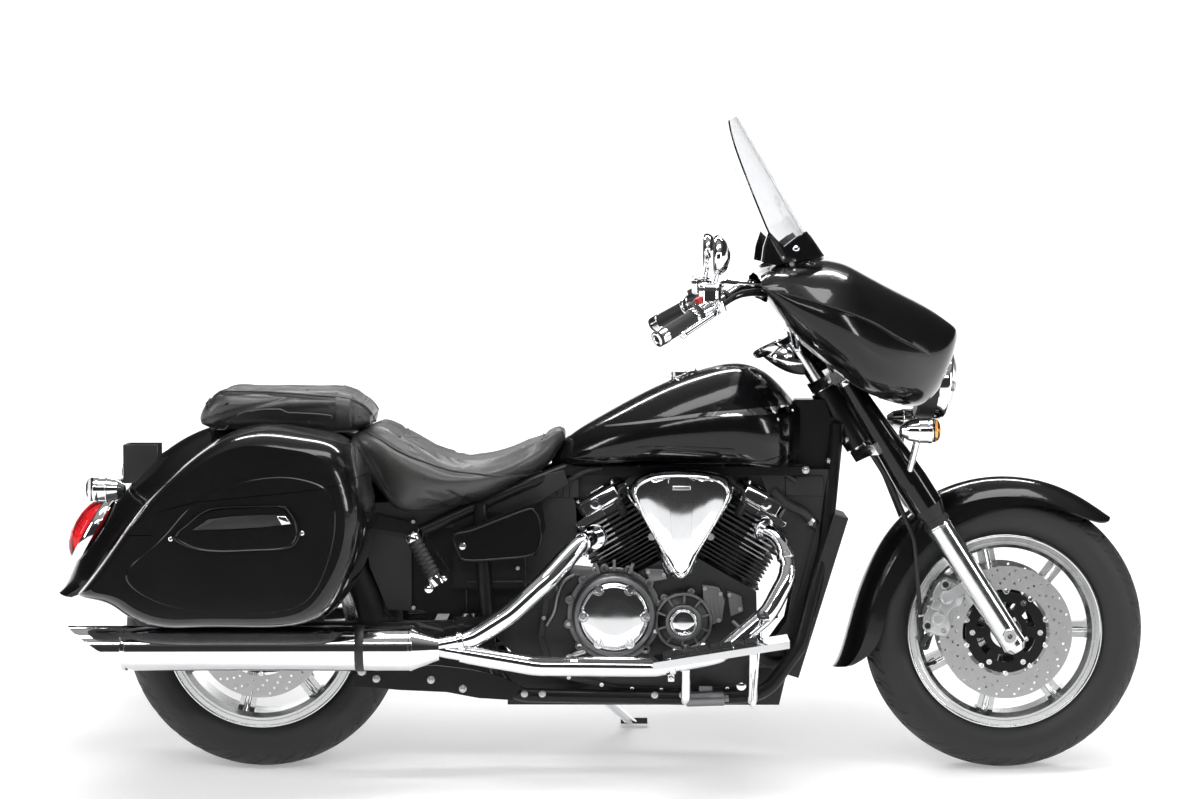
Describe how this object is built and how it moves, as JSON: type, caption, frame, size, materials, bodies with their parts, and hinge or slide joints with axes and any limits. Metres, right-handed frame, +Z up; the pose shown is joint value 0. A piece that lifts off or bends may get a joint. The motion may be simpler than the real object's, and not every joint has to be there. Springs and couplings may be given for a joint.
{
  "type": "touring cruiser motorcycle",
  "caption": "Touring cruiser motorcycle leaning on its side stand: fork-mounted fairing with clear windshield, finned V-twin, hard saddlebags with lids, footboards, steering and turning wheels.",
  "frame": {"origin": "on the ground under the middle of the parked machine's length and width", "axes": "+X points forward along the wheelbase, +Y to the rider's left, +Z up; the machine leans about X onto its side stand"},
  "size_m": [2.4856, 1.0565, 1.4834],
  "materials": {
    "chrome": "polished",
    "gloss_plastic": "gloss",
    "rubber": "matte",
    "dark_cylinder": "satin",
    "black_plastic": "matte",
    "gloss_black_paint": "gloss",
    "polished_aluminium": "polished",
    "dark_frame_paint": "satin",
    "cast_aluminium": "satin",
    "steel": "brushed",
    "tyre": "matte",
    "clear_lens": "clear",
    "leather": "satin",
    "red_lens": "gloss",
    "clear_screen": "clear"
  },
  "bodies": {
    "chassis": {"air_cleaner": "chrome", "cylinders": "dark_cylinder", "drive_belt": "rubber", "engine_cases": "dark_cylinder", "engine_covers": "dark_cylinder", "exhaust_pipes": "chrome", "footboards": "chrome", "frame": "dark_frame_paint", "fuel_tank": "gloss_black_paint", "muffler": "chrome", "passenger_pegs": "chrome", "passenger_seat": "leather", "plate_bracket": "black_plastic", "radiator": "black_plastic", "rear_caliper": "cast_aluminium", "rear_fender": "gloss_black_paint", "rear_signals": "chrome", "rider_seat": "leather", "saddlebags": "gloss_plastic", "side_covers": "gloss_black_paint", "swingarm": "dark_frame_paint", "tail_light": "red_lens", "tank_trim": "chrome"},
    "steering": {"triple_clamps": "polished_aluminium", "fork_covers": "gloss_black_paint", "fork_sliders": "polished_aluminium", "handlebar": "chrome", "grips": "rubber", "hand_controls": "chrome", "mirrors": "chrome", "speedometer": "chrome", "fairing": "gloss_plastic", "fairing_dash": "black_plastic", "windshield": "clear_screen", "headlight": "clear_lens", "front_signals": "chrome", "front_fender": "gloss_black_paint", "front_calipers": "cast_aluminium", "brake_hoses": "rubber"},
    "front_wheel": {"front_tyre": "tyre", "front_rim": "polished_aluminium", "front_discs": "steel"},
    "rear_wheel": {"rear_tyre": "tyre", "rear_rim": "polished_aluminium", "rear_disc": "steel", "rear_pulley": "cast_aluminium"},
    "side_stand": {"side_stand": "chrome"},
    "lid_left": {"bag_lid_left": "gloss_plastic"},
    "lid_right": {"bag_lid_right": "gloss_plastic"}
  },
  "joints": [
    {"name": "steering", "type": "hinge", "parent": "chassis", "child": "steering", "pos_m": [0.52755, -0.03204, 0.83301], "axis": [-0.5373, 0.1319, 0.833], "range_deg": [-36, 36]},
    {"name": "front_wheel_spin", "type": "hinge", "parent": "steering", "child": "front_wheel", "pos_m": [0.92485, -0.11409, 0.31497], "axis": [0, 0.9877, -0.1564], "continuous": true},
    {"name": "rear_wheel_spin", "type": "hinge", "parent": "chassis", "child": "rear_wheel", "pos_m": [-0.77015, -0.11405, 0.31522], "axis": [0, 0.9877, -0.1564], "continuous": true},
    {"name": "side_stand_fold", "type": "hinge", "parent": "chassis", "child": "side_stand", "pos_m": [-0.01015, 0.02479, 0.11792], "axis": [0.1332, 0.6569, 0.7421], "range_deg": [0, 107.1]},
    {"name": "lid_left_open", "type": "hinge", "parent": "chassis", "child": "lid_left", "pos_m": [-0.73015, 0.13827, 0.74489], "axis": [1, 0, 0], "range_deg": [0, 70]},
    {"name": "lid_right_open", "type": "hinge", "parent": "chassis", "child": "lid_right", "pos_m": [-0.73015, -0.22125, 0.80183], "axis": [-1, 0, 0], "range_deg": [0, 70]}
  ]
}
